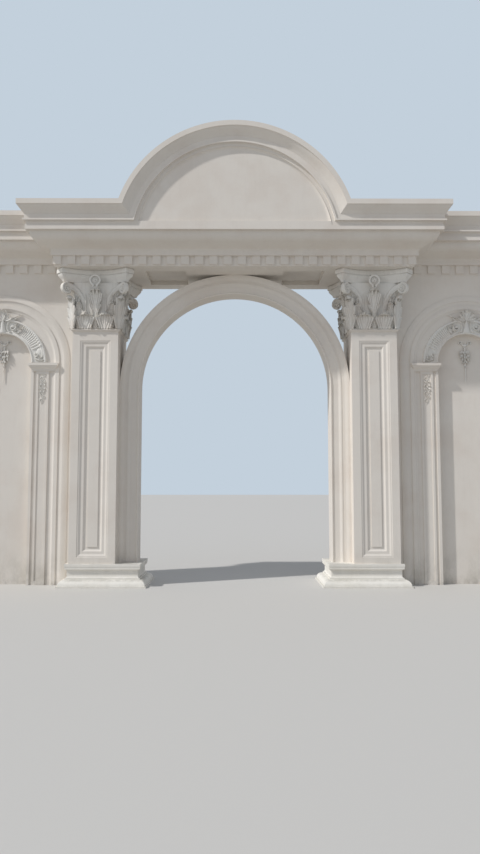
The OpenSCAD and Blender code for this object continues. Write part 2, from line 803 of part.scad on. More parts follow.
base(-1);  // base_left
base(1);  // base_right
pier(-1);  // pier_left
pier(1);  // pier_right
astragal(-1);  // astragal_left
astragal(1);  // astragal_right
capital(-1);  // capital_left
capital(1);  // capital_right
capital_carving(-1);  // capital_carving_left
capital_carving(1);  // capital_carving_right
abacus(-1);  // abacus_left
abacus(1);  // abacus_right
jamb(-1);  // jamb_left
jamb(1);  // jamb_right
arch_ring(-1);  // arch_ring_left
arch_ring(1);  // arch_ring_right
dentil_beam();
bed_moulding();
corona();
cymatium(-1);  // cymatium_left
cymatium(1);  // cymatium_right
pediment_arch();
tympanum();
wall(-1);  // wall_left
wall(1);  // wall_right
blind_arch(-1);  // blind_arch_left
blind_arch(1);  // blind_arch_right
niche_pilasters(-1);  // niche_pilasters_left
niche_pilasters(1);  // niche_pilasters_right
imposts(-1);  // imposts_left
imposts(1);  // imposts_right
niche_arch(-1);  // niche_arch_left
niche_arch(1);  // niche_arch_right
keystones(-1);  // keystones_left
keystones(1);  // keystones_right
drops(-1);  // drops_left
drops(1);  // drops_right
wall_dentil_beam(-1);  // wall_dentil_beam_left
wall_dentil_beam(1);  // wall_dentil_beam_right
wall_bed_moulding(-1);  // wall_bed_moulding_left
wall_bed_moulding(1);  // wall_bed_moulding_right
wall_corona(-1);  // wall_corona_left
wall_corona(1);  // wall_corona_right
wall_cymatium(-1);  // wall_cymatium_left
wall_cymatium(1);  // wall_cymatium_right
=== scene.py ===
"""A white park gate: limewashed render on its masonry and carved leaves, ribs and garlands on its faces."""
import json
import math

import bpy
import numpy as np
from bpy.props import FloatProperty, FloatVectorProperty, IntProperty, PointerProperty
from mathutils import Matrix, Vector


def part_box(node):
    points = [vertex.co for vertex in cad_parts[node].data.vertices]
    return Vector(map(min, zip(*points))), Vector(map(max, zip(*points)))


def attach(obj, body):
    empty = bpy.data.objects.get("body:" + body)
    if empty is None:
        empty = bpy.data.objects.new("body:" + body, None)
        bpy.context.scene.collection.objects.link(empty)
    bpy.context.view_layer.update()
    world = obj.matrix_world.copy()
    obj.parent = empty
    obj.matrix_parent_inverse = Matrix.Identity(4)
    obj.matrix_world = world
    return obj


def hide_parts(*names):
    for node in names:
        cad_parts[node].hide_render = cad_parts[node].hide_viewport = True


bl_info = {
    "name": "White Park Gate",
    "version": (1, 0, 0),
    "blender": (4, 5, 0),
    "location": "View3D > Sidebar > Gate",
    "description": "Limewash finishes and carved ornament for a classical park gate",
    "category": "Object",
}

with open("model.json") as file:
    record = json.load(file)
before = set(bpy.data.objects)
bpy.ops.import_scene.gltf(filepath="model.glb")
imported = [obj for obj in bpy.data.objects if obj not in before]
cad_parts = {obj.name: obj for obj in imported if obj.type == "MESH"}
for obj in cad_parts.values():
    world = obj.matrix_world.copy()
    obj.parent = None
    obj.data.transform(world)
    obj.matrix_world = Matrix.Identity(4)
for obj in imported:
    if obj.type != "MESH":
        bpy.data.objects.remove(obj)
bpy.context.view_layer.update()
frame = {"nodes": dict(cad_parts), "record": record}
BODY = "root"
SIDES = {"left": -1, "right": 1}
CRISP_EDGE = math.radians(40)


def linear(hex_colour):
    """The linear colour of an sRGB hex value, with an alpha of 1."""
    parts = [int(hex_colour[i:i + 2], 16) / 255 for i in (0, 2, 4)]
    return [p / 12.92 if p <= 0.04045 else ((p + 0.055) / 1.055) ** 2.4 for p in parts] + [1.0]


# Settings

def length(name, description, default):
    return FloatProperty(name=name, description=description, default=default, unit="LENGTH")


def angle(name, description, degrees):
    return FloatProperty(name=name, description=description, default=math.radians(degrees), subtype="ANGLE")


def number(name, description, default):
    return FloatProperty(name=name, description=description, default=default)


def whole(name, description, default, least=1):
    return IntProperty(name=name, description=description, default=default, min=least)


def colour(name, description, hex_colour):
    return FloatVectorProperty(name=name, description=description, subtype="COLOR", size=4, min=0, max=1,
                               default=linear(hex_colour))


class GateStageSettings(bpy.types.PropertyGroup):
    eye: FloatVectorProperty(name="Eye", description="Where the picture is taken from", subtype="XYZ",
                             unit="LENGTH", default=(0.038, -9.814, 1.40))
    pitch: angle("Pitch", "How far the view looks up", 4.77)
    yaw: angle("Yaw", "How far the view looks to the right", 0.21)
    field: angle("Field of view", "Height of the view", 64.0)
    floor_size: length("Floor size", "Side of the plain floor", 160.0)
    floor: colour("Floor", "Plain pale floor", "CBC9C5")
    floor_bounce: colour("Floor's bounce", "Colour of the floor in the light that it throws back", "B1AEA8")
    backdrop: colour("Backdrop", "Plain pale background", "C3D0DC")
    fill: colour("Fill colour", "Colour of the light from all round", "E4ECF8")
    key_power: number("Key", "Strength of the main lamp, high on the left", 2.4)
    low_power: number("Low lamp", "Strength of the weak lamp low on the left", 0.20)
    fill_power: number("Fill", "Strength of the light from all round", 0.49)


class GateFinishSettings(bpy.types.PropertyGroup):
    limewash: colour("Limewash", "Clean limewash on the render", "EAE4DC")
    limewash_thin: colour("Thin limewash", "Where the coat is thin or dusty", "E5DDD4")
    carving: colour("Carving", "Limewash on the carved work", "EEECE7")
    plinth: colour("Plinth", "Fresh thick limewash on the bases", "F4F1EA")
    plinth_thin: colour("Thin plinth", "Where the coat on the bases is thinner", "EDE9E0")
    # Tint of the brush streaks, and of the painted shade in carved hollows, grooves and under leaves
    hollow: colour("Hollows", "Dust and shadow stain in carved hollows", "AAA59B")
    damp: colour("Damp", "Damp stain at the foot of the walls", "8E8878")
    soot: colour("Soot", "Dark streaks and lichen", "6F6C62")
    patch_size: length("Patch size", "Width of the coat's uneven patches", 0.55)
    grain_size: length("Grain size", "Width of the sand grain, drawn coarse so that it shows", 0.012)
    damp_height: length("Damp height", "How high the damp stain climbs", 0.62)


class GateCapitalSettings(bpy.types.PropertyGroup):
    lower_leaf: length("Lower leaf", "Length of a lower leaf with its hood", 0.325)
    upper_leaf: length("Upper leaf", "Length of the leaf in the middle of a side", 0.450)
    upper_leaf_foot: length("Upper leaf's foot", "Height at which the upper leaf starts", 0.236)
    corner_leaf: length("Corner leaf", "Length of a leaf on a corner", 0.560)
    scroll_radius: length("Scroll radius", "Outer radius of a corner scroll", 0.092)
    scroll_width: length("Scroll width", "Thickness of a corner scroll", 0.064)
    scroll_out: length("Scroll's place", "How far a scroll's middle lies out from the shaft's faces", 0.078)
    scroll_turns: number("Scroll turns", "Turns of a corner scroll", 2.0)
    flower_rise: length("Flower's place", "Height of a flower's middle over the abacus's foot", 0.018)
    abacus_height: length("Abacus height", "Height of the abacus", 0.180)
    horn: length("Horn", "How far the abacus's horns are cut back along a side", 0.100)
    hollow: length("Hollow", "How far the middle of a side lies behind its horns", 0.150)


class GateNicheSettings(bpy.types.PropertyGroup):
    rib_count: whole("Ribs", "Ribs on each side of a niche's head", 12, 5)
    rib_relief: length("Rib relief", "How far a rib stands out", 0.016)
    fan_lobes: whole("Fan lobes", "Leaves in half of the fan over a niche", 3, 2)
    garland_levels: whole("Garland levels", "Pairs of leaves in a garland", 6)
    spray_levels: whole("Spray levels", "Pairs of leaves on a pilaster", 8)


SETTINGS = {"gate_stage": GateStageSettings, "gate_finish": GateFinishSettings,
            "gate_capital": GateCapitalSettings, "gate_niche": GateNicheSettings}


# Materials

def add_node(tree, kind, inputs=(), output=0, **settings):
    """Adds a node with its settings. Its inputs, in order or by name, get values, or links where they are
    given sockets. Returns one of its outputs, or the node itself where it has none."""
    node = tree.nodes.new(kind)
    for name, value in settings.items():
        setattr(node, name, value)
    for name, value in inputs.items() if isinstance(inputs, dict) else enumerate(inputs):
        if isinstance(value, bpy.types.NodeSocket):
            tree.links.new(value, node.inputs[name])
        else:
            node.inputs[name].default_value = value
    return node.outputs[output] if node.outputs else node


def new_material(name):
    """An empty node material and its node tree."""
    material = bpy.data.materials.new(name)
    material.use_nodes = True
    material.node_tree.nodes.clear()
    return material, material.node_tree


# Widths of what shows in the coat, in metres. A limewash brush drags streaks of about 50 mm, a float leaves
# waves of about 160 mm, and rain splashes the lowest 120 mm in spots of about 60 mm. Lichen and damp grow in
# blotches of 200 to 300 mm.
BRUSH_STREAK = 0.05
FLOAT_WAVE = 0.16
LICHEN_PATCH = 0.22
DAMP_BLOTCH = 0.30
SPLASH_SPOT = 0.06
SPLASH_HEIGHT = 0.12


def limewashed_render(name, base, thin, damp_share, streaks, dusty=False):
    """Limewash brushed over lime and sand render: chalky, uneven in thickness, with soft trowel waves
    and sand grain under it. Its lower edge draws damp and its ledges gather dirt; on carved work its hollows
    get painted shade."""
    finish = bpy.context.scene.gate_finish
    material, tree = new_material(name)
    at = add_node(tree, "ShaderNodeTexCoord", output="Object")
    height = add_node(tree, "ShaderNodeSeparateXYZ", (at,), 2)
    normal = add_node(tree, "ShaderNodeNewGeometry", output="Normal")
    facing = add_node(tree, "ShaderNodeSeparateXYZ", (normal,), 2)
    smooth = {"interpolation_type": "SMOOTHSTEP"}
    # A layer's row: the heights or facings that it lies in, its spots' width, detail, roughness and upright
    # stretch, the noise that it starts and ends at with its share there, and its tint
    layers = ((None, finish.patch_size, 5.0, 0.6, 1.0, (0.42, 0.72, 0.0, 1.0), thin),
              (None, BRUSH_STREAK, 4.0, 0.65, 0.12, (0.45, 0.75, 0.0, streaks), finish.hollow),
              ((facing, 0.55, 0.95, 0.0, 1.0), LICHEN_PATCH, 6.0, 0.7, 1.0, (0.35, 0.62, 0.06, 0.42),
               finish.soot),
              ((height, 0.0, finish.damp_height, 1.0, 0.0), DAMP_BLOTCH, 6.0, 0.65, 0.6,
               (0.36, 0.66, 0.0, damp_share), finish.damp),
              ((height, 0.0, SPLASH_HEIGHT, 1.0, 0.0), SPLASH_SPOT, 6.0, 0.7, 1.0,
               (0.45, 0.62, 0.0, damp_share * 0.5), finish.soot))
    tints = []
    for where, width, detail, roughness, upright, span, tint in layers:
        mapped = add_node(tree, "ShaderNodeMapping", {"Vector": at, "Scale": (1, 1, upright)})
        spots = add_node(tree, "ShaderNodeTexNoise",
                         {"Vector": mapped, "Scale": 1 / width, "Detail": detail, "Roughness": roughness})
        share = add_node(tree, "ShaderNodeMapRange", (spots, *span), **smooth)
        if where:
            inside = add_node(tree, "ShaderNodeMapRange", where, **smooth)
            share = add_node(tree, "ShaderNodeMath", (inside, share), operation="MULTIPLY")
        tints.append((share, tint))
    # Lime is matt all over, and a little rougher where the coat is thin.
    rough = add_node(tree, "ShaderNodeMapRange", (tints[0][0], 0.0, 1.0, 0.78, 0.92), **smooth)
    # Painted shade: points deep in a carved hollow, a groove or a leaf's underside are darkened towards the
    # hollows' tint
    if dusty:
        recess = add_node(tree, "ShaderNodeAttribute", output="Fac", attribute_name="recess")
        hollow_shade = add_node(tree, "ShaderNodeMapRange", (recess, 0.15, 1.0, 0.0, 0.30), **smooth)
        tints.append((hollow_shade, finish.hollow))
    body = base
    for share, tint in tints:
        body = add_node(tree, "ShaderNodeMix", {0: share, 6: body, 7: tint}, 2, data_type="RGBA")
    # Real sand grains are 1 to 2 mm wide. Here they are as coarse as their setting says, so that they show.
    relief = {}
    for width, detail, roughness, strength, depth in ((FLOAT_WAVE, 2.0, 0.5, 0.35, 0.006),
                                                      (finish.grain_size, 4.0, 0.6, 0.45, 0.0016)):
        grain = add_node(tree, "ShaderNodeTexNoise",
                         {"Vector": at, "Scale": 1 / width, "Detail": detail, "Roughness": roughness})
        relief = {"Normal": add_node(tree, "ShaderNodeBump", {"Height": grain, "Strength": strength,
                                                              "Distance": depth, **relief})}
    shader = add_node(tree, "ShaderNodeBsdfPrincipled", {"Base Color": body, "Roughness": rough, **relief,
                                                         "IOR": 1.5, "Specular IOR Level": 0.25})
    add_node(tree, "ShaderNodeOutputMaterial", {"Surface": shader})
    return material


def limewash(slot):
    """The finish of one of the record's material slots, made once."""
    finish = bpy.context.scene.gate_finish
    name, *look = {
        # Limewash on floated lime render: an even, matt white with thin patches and damp at its foot.
        "lime_render": ("limewashed_lime_render", finish.limewash, finish.limewash_thin, 0.38, 0.04),
        # Fresh, thick coats on the bases: brighter than the walls, with a few splashes and damp stains.
        "plinth_render": ("damp_stained_lime_render", finish.plinth, finish.plinth_thin, 0.12, 0.06),
        # Limewash on cast and carved plaster: thick on the ridges, with painted shade in the hollows.
        "carved_work": ("limewashed_carved_plaster", finish.carving, finish.limewash_thin, 0.0, 0.15, True),
    }[slot]
    return bpy.data.materials.get(name) or limewashed_render(name, *look)


# Shapes

def shown(name, data):
    """A new object in the scene."""
    made = bpy.data.objects.new(name, data)
    bpy.context.scene.collection.objects.link(made)
    return made


class Carving:
    """Points and faces gathered for one carved piece, with how deep each point lies in a hollow."""

    def __init__(self):
        self.points, self.faces, self.recess, self.count = [], [], [], 0

    def add(self, shape, place=None):
        """Adds a shape of points, faces and recess, at a place given by a 4 by 4 matrix."""
        points, faces, recess = shape
        points = np.asarray(points, float)
        if place is not None:
            turn = np.array(place)
            points = points @ turn[:3, :3].T + turn[:3, 3]
            if np.linalg.det(turn[:3, :3]) < 0:
                faces = [f[::-1] for f in faces]
        self.points.append(points)
        self.recess.append(np.asarray(recess, float))
        self.faces += [[i + self.count for i in f] for f in faces]
        self.count += len(points)

    def shape(self):
        return np.vstack(self.points), self.faces, np.concatenate(self.recess)

    def piece(self, name, finish):
        """The gathered shapes as one smooth-shaded object, crisp at its sharp edges."""
        points, faces, recess = self.shape()
        mesh = bpy.data.meshes.new(name)
        mesh.from_pydata(points.tolist(), [], faces)
        mesh.shade_smooth()
        mesh.set_sharp_from_angle(angle=CRISP_EDGE)
        # How deep each point lies in a hollow; the carved finish darkens by it as painted shade
        mesh.attributes.new("recess", "FLOAT", "POINT").data.foreach_set("value", recess)
        mesh.materials.append(finish)
        mesh.update()
        return shown(name, mesh)


def unit(vectors):
    """Rows of vectors, each brought to a length of 1."""
    return vectors / np.linalg.norm(vectors, axis=1)[:, None]


def outward(points, faces):
    """The faces of a closed shape, turned so that they face out of it."""
    corners = np.array([(f[0], f[k], f[k + 1]) for f in faces for k in range(1, len(f) - 1)])
    a, b, c = (points[corners[:, k]] for k in range(3))
    return faces if np.einsum("ij,ij->", a, np.cross(b, c)) > 0 else [f[::-1] for f in faces]


def cells(grid):
    """The four corners of each cell in a grid of point numbers."""
    corners = (grid[:-1, :-1], grid[:-1, 1:], grid[1:, 1:], grid[1:, :-1])
    return np.stack(corners, axis=2).reshape(-1, 4).tolist()


def lofted(rings, recess=None):
    """A closed solid through rings of points, an array of rings by points by 3."""
    points = np.reshape(rings, (-1, 3))
    grid = np.arange(len(points)).reshape(len(rings), -1)
    faces = [grid[0, ::-1].tolist(), *cells(np.column_stack([grid, grid[:, 0]])), grid[-1].tolist()]
    return points, outward(points, faces), np.zeros(len(points)) if recess is None else recess.ravel()


def sheet(front, back, recess):
    """A closed solid between two grids of points of the same size, closed round their edges."""
    half = recess.size
    grid = np.arange(half).reshape(recess.shape)
    faces = []
    for cell in cells(grid):
        faces += [cell, [k + half for k in cell[::-1]]]
    rim = np.concatenate([grid[0], grid[1:, -1], grid[-1, -2::-1], grid[-2:0:-1, 0]]).tolist()
    for a, b in zip(rim, rim[1:] + rim[:1]):
        faces.append([b, a, a + half, b + half])
    points = np.concatenate([front.reshape(-1, 3), back.reshape(-1, 3)])
    # The back sheet counts as deep in a hollow, so the underside gets painted shade
    return points, outward(points, faces), np.concatenate([recess.ravel(), np.ones(half)])


def acanthus(long, wide, curl, hood=0.120, foot=0.9, top=0.55, lobes=2.7, ridges=3, cup=0.030,
             ridge=0.012, rib=0.012, skin=0.014, notch=0.30, rise=0.040, dome=0.034, opens=0.0, rows=42,
             columns=12):
    """A leaf that climbs the plane y = 0, cupped towards -y between its edges, whose last part turns over
    into a hood with a round tip. Ridges run up and outwards from a raised midrib to its pointed lobes. It
    keeps the width of its foot up to the share that it opens at."""
    steps = 60
    lean = 8
    at = np.linspace(0, long, steps + 1)
    start = long - hood
    turned = lean + (curl - lean) * np.clip((at - start) / hood, 0, 1)
    angles = np.radians(np.where(at < start, lean * at / start, turned))
    halfway = (angles[1:] + angles[:-1]) / 2
    out = np.concatenate([[0], np.cumsum(np.sin(halfway))]) * long / steps
    up = np.concatenate([[0], np.cumsum(np.cos(halfway))]) * long / steps
    share = np.linspace(0, 1, rows + 1)[:, None]
    across = np.linspace(-1, 1, 2 * columns + 1)[None, :]
    side = np.abs(across)
    flat = np.clip((start / long + 0.06 - share) / 0.14, 0, 1)
    reach = long * share + rise * side ** 1.4 * (flat * np.clip(share * 6, 0, 1) - 0.5 * (1 - flat))
    reach = np.clip(reach, 0, long)
    bent = np.interp(reach, at, angles)
    waves = 0.5 + 0.5 * np.cos(2 * math.pi * (ridges * side - lobes * share))
    lobe = np.mod(lobes * share - 1e-6, 1)
    opened = np.clip((share - opens) / 0.40, 0, 1)
    narrow = 1 - (1 - top) * np.clip((share - 0.25) / (start / long - 0.25), 0, 1) ** 1.6
    broad = (foot + (1 - foot) * np.sin(opened * math.pi / 2)) * narrow
    tip_part = 0.45 * hood
    tip = np.sqrt(1 - 0.985 * np.clip((long * share - long + tip_part) / tip_part, 0, 1) ** 2)
    half = wide / 2 * broad * tip * (1 - notch * (1 - lobe) ** 1.6 * flat * side ** 1.6)
    lift = (skin + cup * broad * side ** 1.6 * (0.6 + 0.4 * share) * tip
            + ridge * waves ** 0.8 * np.clip(side * 4, 0, 1) * tip + rib * np.exp(-side / 0.08) * tip)
    free = np.maximum(np.clip((side - 0.35) / 0.45, 0, 1), np.clip((reach - start + 0.02) / 0.05, 0, 1))
    under = -0.006 + (lift - skin + 0.006) * free ** 2

    def surface(height):
        y = -np.interp(reach, at, out) - height * np.cos(bent)
        z = np.interp(reach, at, up) - height * np.sin(bent) - dome * side ** 2 * (1 - flat)
        return np.stack([across * half, y, z], axis=2)

    # The grooves between the ridges get painted shade
    recess = np.clip(1 - waves, 0, 1) * np.clip(side * 3, 0, 1)
    return sheet(surface(lift), surface(under), recess)


def tube(path, radius, sides):
    """A closed tube along points, with one radius for all of them or for each."""
    path = np.asarray(path, float)
    radius = np.broadcast_to(radius, len(path))
    tangents = unit(np.gradient(path, axis=0))
    side = unit(np.cross(tangents, (0, 1, 0.001)))
    up = np.cross(side, tangents)
    turn = np.linspace(0, 2 * math.pi, sides, endpoint=False)
    rings = [p + r * (np.cos(turn)[:, None] * s + np.sin(turn)[:, None] * u)
             for p, r, s, u in zip(path, radius, side, up)]
    return lofted(rings)


def ball(radius, squash, rings=10, sides=20):
    """A closed ball about the origin, squashed along y."""
    pole = 0.06
    turn = np.linspace(0, 2 * math.pi, sides, endpoint=False)
    steps = np.linspace(pole, math.pi - pole, rings)
    return lofted([[(radius * math.sin(a) * math.cos(b), -radius * squash * math.cos(a),
                     -radius * math.sin(a) * math.sin(b)) for b in turn] for a in steps])


def sunk(shape):
    """A shape that lies wholly in a hollow, so that all of it gets painted shade."""
    points, faces, _ = shape
    return points, faces, np.ones(len(points))


def scroll(radius, width, turns):
    """A scroll in the plane y = 0 that winds inwards from its top over the side at +x: a band with a raised
    outer rim on both faces of a disc, and its eye."""
    made = Carving()
    t = np.linspace(0, 1, 96)
    turn = np.radians(96) - 2 * math.pi * turns * t
    rings = []
    for a, r, d in zip(turn, radius * (1 - 0.76 * t), 0.36 * radius * (1 - 0.50 * t)):
        across = [(r, 0.40), (r - 0.18 * d, 0.5), (r - 0.42 * d, 0.42), (r - 0.80 * d, 0.43), (r - d, 0.34)]
        across += [(q, -w) for q, w in across[::-1]]
        rings.append([(q * math.cos(a), w * width, q * math.sin(a)) for q, w in across])
    made.add(lofted(rings))
    disc = radius * 0.88
    made.add(sunk(ball(disc, 0.28 * width / disc, 12, 40)))
    for face in (-1, 1):
        made.add(ball(radius * 0.17, 0.5), placed(y=face * width * 0.36))
    return made.shape()


def placed(x=0, y=0, z=0, turn=0, scale=(1, 1, 1), axis="Z"):
    """A place: scaled, turned about an axis by degrees and moved."""
    return (Matrix.Translation((x, y, z)) @ Matrix.Rotation(math.radians(turn), 4, axis)
            @ Matrix.Diagonal((*scale, 1)))


def tilted(x, z, degrees, size=1.0, y=0.0):
    """A place in the plane y: turned in it by degrees to the right, scaled and moved."""
    return placed(x, y, z, degrees, (size, size, size), "Y")


# Capitals

# How far the bell's faces lie inside the pier's
BELL_INSET = 0.006


def bell(half_x, half_y, high):
    """The capital's bell with rounded corners: upright, then flaring a little to a thin lip."""
    flare_from, flare_to, lip_from = 0.55, 0.95, 0.955
    flare, lip = 0.018, 0.003
    corner = 0.03
    made = []
    for t in np.linspace(0, 1, 26):
        rise = max(0.0, (t - flare_from) / (flare_to - flare_from))
        grow = flare * min(1, rise) ** 2 + (lip if t > lip_from else 0)
        ring = []
        for k, (sx, sy) in enumerate(((1, 1), (-1, 1), (-1, -1), (1, -1))):
            for turn in np.linspace(0, math.pi / 2, 9) + k * math.pi / 2:
                ring.append((sx * (half_x + grow - corner) + corner * math.cos(turn),
                             sy * (half_y + grow - corner) + corner * math.sin(turn), t * high))
        made.append(ring)
    return lofted(made)


def wave(points, steps=40):
    """A smooth path of x and z through four control points."""
    a, b, c, d = (np.asarray(p, float) for p in points)
    t = np.linspace(0, 1, steps)[:, None]
    return (1 - t) ** 3 * a + 3 * (1 - t) ** 2 * t * b + 3 * (1 - t) * t ** 2 * c + t ** 3 * d


def scroll_stem(points, out, wide):
    """The stem that climbs the bell, widens and swings out to the corner scroll, with a raised rim and a
    groove along its inner edge. It ends turned to the scroll's own plane."""
    steps, thick = 30, 0.034
    path = wave(points, steps)
    share = (path[:, 0] - path[0, 0]) / (path[-1, 0] - path[0, 0])
    path = np.stack([path[:, 0], -out * share ** 3.2, path[:, 1]], axis=1)
    along = unit(np.gradient(path, axis=0))
    face = np.stack([-share ** 2, -np.ones(steps), np.zeros(steps)], axis=1)
    inner = unit(np.cross(along, face))
    face = np.cross(inner, along)
    half = np.interp(share, (0, 1), wide) / 2
    section = [(1, -0.3), (1, 0.8), (0.90, 1), (0.74, 0.95), (0.62, 0.40), (0.46, 0.45), (0, 0.82),
               (-0.5, 0.86), (-0.9, 0.55), (-1, 0.1), (-1, -0.3)]
    deep = thick * np.clip(0.05 + 4 * share, 0, 1)
    return lofted([[p + i * u * h + f * v * d for u, v in section]
                   for p, i, f, h, d in zip(path, inner, face, half, deep)])


def flower():
    """The ring over the middle of a side: a loop whose two ends run down side by side over the leaf's hood,
    with a curled bud inside."""
    made = Carving()
    radius, band_radius = 0.082, 0.014
    turn = np.radians(np.linspace(-66, 246, 52))
    ring = [((radius - band_radius) * math.cos(a), (radius - band_radius) * math.sin(a)) for a in turn]
    left = [(-0.0245, -0.066), (-0.0235, -0.085), (-0.024, -0.11), (-0.025, -0.14), (-0.026, -0.17),
            (-0.028, -0.19)]
    path = [(-x, z) for x, z in left[::-1]] + ring + left
    back = [0.045 * min(1.0, max(0.0, (-z - 0.10) / 0.09)) ** 1.5 for x, z in path]
    made.add(tube([(x, y, z) for (x, z), y in zip(path, back)], band_radius, 10))
    bud = spiral(0, 0, 0.034, 120, 500, 0.25, 44)
    made.add(tube([(x, 0.002, z) for x, z in bud], np.linspace(0.006, 0.011, 44), 8))
    made.add(sunk(ball(radius * 0.85, 0.18, 8, 32)), placed(y=0.018))
    made.add(tube([(0, 0.01, 0), (0, 0.06, 0), (0, 0.11, 0)], 0.026, 16))
    return made.shape()


def abacus_plan(inset, half_x, half_y, horn, hollow):
    """Outline of the abacus in X and Y, its horns drawn in by inset and its hollow sides by half of that."""
    t = np.linspace(-1, 1, 33)

    def one_side(half, at):
        return t * (half - 0.15 * inset - horn), -(at - inset - (hollow - inset / 2) * (1 - t ** 2))

    front, right = np.stack(one_side(half_x, half_y)), np.stack(one_side(half_y, half_x))
    right = np.stack([-right[1], right[0]])
    return np.concatenate([front, right, -front, -right], axis=1).T


def abacus(half_x, half_y, settings):
    """The abacus: a curve that leans out from its foot, a fine groove, the plain face and a thin gap over
    it, where the beam bears on a slightly smaller bed."""
    high = settings.abacus_height
    curve_high = 0.100
    curve = [(curve_high * t, 0.014 + 0.070 * (1 - t + 0.08 * math.sin(2 * math.pi * t)))
             for t in np.linspace(0, 1, 12)]
    levels = curve + [(0.101, 0.024), (0.112, 0.024), (0.113, 0.0), (high - 0.012, 0.0),
                      (high - 0.011, 0.016), (high, 0.016)]
    return lofted([[(x, y, z) for x, y in abacus_plan(inset, half_x, half_y, settings.horn, settings.hollow)]
                   for z, inset in levels])


def capital_side(made, place, half, scroll_z, settings, blocked):
    """Leaves and stems on one side of a bell, on the plane y = 0. A blocked side meets the wall."""
    drawn_half = 0.32
    lower = acanthus(settings.lower_leaf + 0.030, 0.262 * half / drawn_half, 186, hood=0.145, top=0.42)
    tall = acanthus(settings.upper_leaf_foot + settings.upper_leaf + 0.020, 0.270, 186, hood=0.150,
                    foot=0.36, top=0.48, lobes=4.6, opens=0.28, rows=66)
    flank = acanthus(0.420, 0.130, 110, hood=0.07, foot=0.6, lobes=3.4, cup=0.020, ridge=0.009, rise=0.02,
                     dome=0.01, columns=10)
    tip = acanthus(0.110, 0.040, 60, hood=0.05, foot=0.5, ridges=2, cup=0.006, ridge=0.004, rib=0.006,
                   skin=0.008, rise=0.006, dome=0.0, rows=16, columns=6)
    top = scroll_z + settings.scroll_radius - 0.048
    foot_x = 0.150
    path = [(foot_x, 0.25), (0.172, 0.46), (0.25, top - 0.02), (half + settings.scroll_out, top)]
    stem = scroll_stem(path, settings.scroll_out + BELL_INSET, (0.050, 0.100))
    stub = tube([(foot_x - 0.010 * math.sin(math.pi * t), -0.010, 0.26 + 0.25 * t)
                 for t in np.linspace(0, 1, 12)], np.linspace(0.011, 0.004, 12), 8)
    for side in (-1, 1):
        made.add(lower, place @ placed(side * half * 0.43, -0.010))
        made.add(flank, place @ placed(side * (half - 0.090)))
        for part in (stem, stub):
            made.add(part, place @ placed(scale=(side, 1, 1)))
        for x, z, lean in ((0.235, 0.375, -2), (0.262, 0.372, 16), (0.285, 0.372, 36), (0.300, 0.365, 60)):
            made.add(tip, place @ tilted(side * (x + half - drawn_half), z, side * lean, 1.0, -0.012))
    if not blocked:
        made.add(tall, place)


def capital(made, side, settings):
    """One whole capital: bell, leaves, corner scrolls, stems and flowers."""
    low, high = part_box(f"capital_{side}")
    pier_low, pier_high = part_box(f"pier_{side}")
    abacus_low, abacus_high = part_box(f"abacus_{side}")
    half_x, half_y = (pier_high.x - pier_low.x) / 2, (pier_high.y - pier_low.y) / 2
    rise = high.z - low.z
    at = placed((pier_low.x + pier_high.x) / 2, 0, low.z)
    made.add(bell(half_x - BELL_INSET, half_y - BELL_INSET, rise), at)
    wall_turn = 90 * SIDES[side]
    corner = settings.scroll_out
    scroll_z = rise - settings.scroll_radius - 0.006
    for turn, half, depth in ((0, half_x, half_y), (180, half_x, half_y), (90, half_y, half_x),
                              (-90, half_y, half_x)):
        face = at @ placed(turn=turn) @ placed(y=BELL_INSET - depth)
        capital_side(made, face, half, scroll_z, settings, turn == wall_turn)
    leaf = acanthus(settings.corner_leaf, 0.220, 165, foot=0.55, top=0.5, lobes=3.9, cup=0.010, rows=60)
    coil = scroll(settings.scroll_radius, settings.scroll_width, settings.scroll_turns)
    for sx in (-1, 1):
        for sy in (-1, 1):
            turn = sx * 45 if sy < 0 else 180 - sx * 45
            made.add(leaf, at @ placed(sx * (half_x - 0.004), sy * (half_y - 0.004), 0, turn))
            made.add(coil, at @ placed(sx * (half_x + corner), sy * (half_y + corner), scroll_z,
                                       45 * sx * sy, (sx, 1, 1)))
    made.add(abacus((abacus_high.x - abacus_low.x) / 2, abacus_high.y, settings), at @ placed(z=rise))
    bloom = flower()
    for turn, depth in ((0, half_y), (180, half_y), (-wall_turn, half_x)):
        made.add(bloom, at @ placed(turn=turn) @ placed(0, -depth - 0.090, rise + settings.flower_rise))


# Niche ornament

def rib(long, wide, high):
    """A ridge along z from 0 to its length, on the plane y = 0, with a rounded and raised outer end."""
    rows, sides = 14, 7
    rings = []
    for t in np.linspace(0, 1, rows):
        end = math.sqrt(max(0.0, 1 - max(0.0, (t - 0.86) / 0.14) ** 2))
        foot = min(1.0, 0.35 + t * 5)
        half = wide / 2 * (0.76 + 0.24 * t) * (0.25 + 0.75 * end)
        top = high * foot * (0.62 + 0.38 * math.exp(-((t - 0.88) / 0.10) ** 2)) * (0.15 + 0.85 * end)
        front = [(half * math.cos(a), -top * math.sin(a), t * long) for a in np.linspace(math.pi, 0, sides)]
        rings.append(front + [(half, 0.25 * high, t * long), (-half, 0.25 * high, t * long)])
    # The rib's flanks and back count as hollow and get painted shade
    recess = np.zeros((rows, sides + 2))
    recess[:, [0, sides - 1, sides, sides + 1]] = 1
    return lofted(rings, recess)


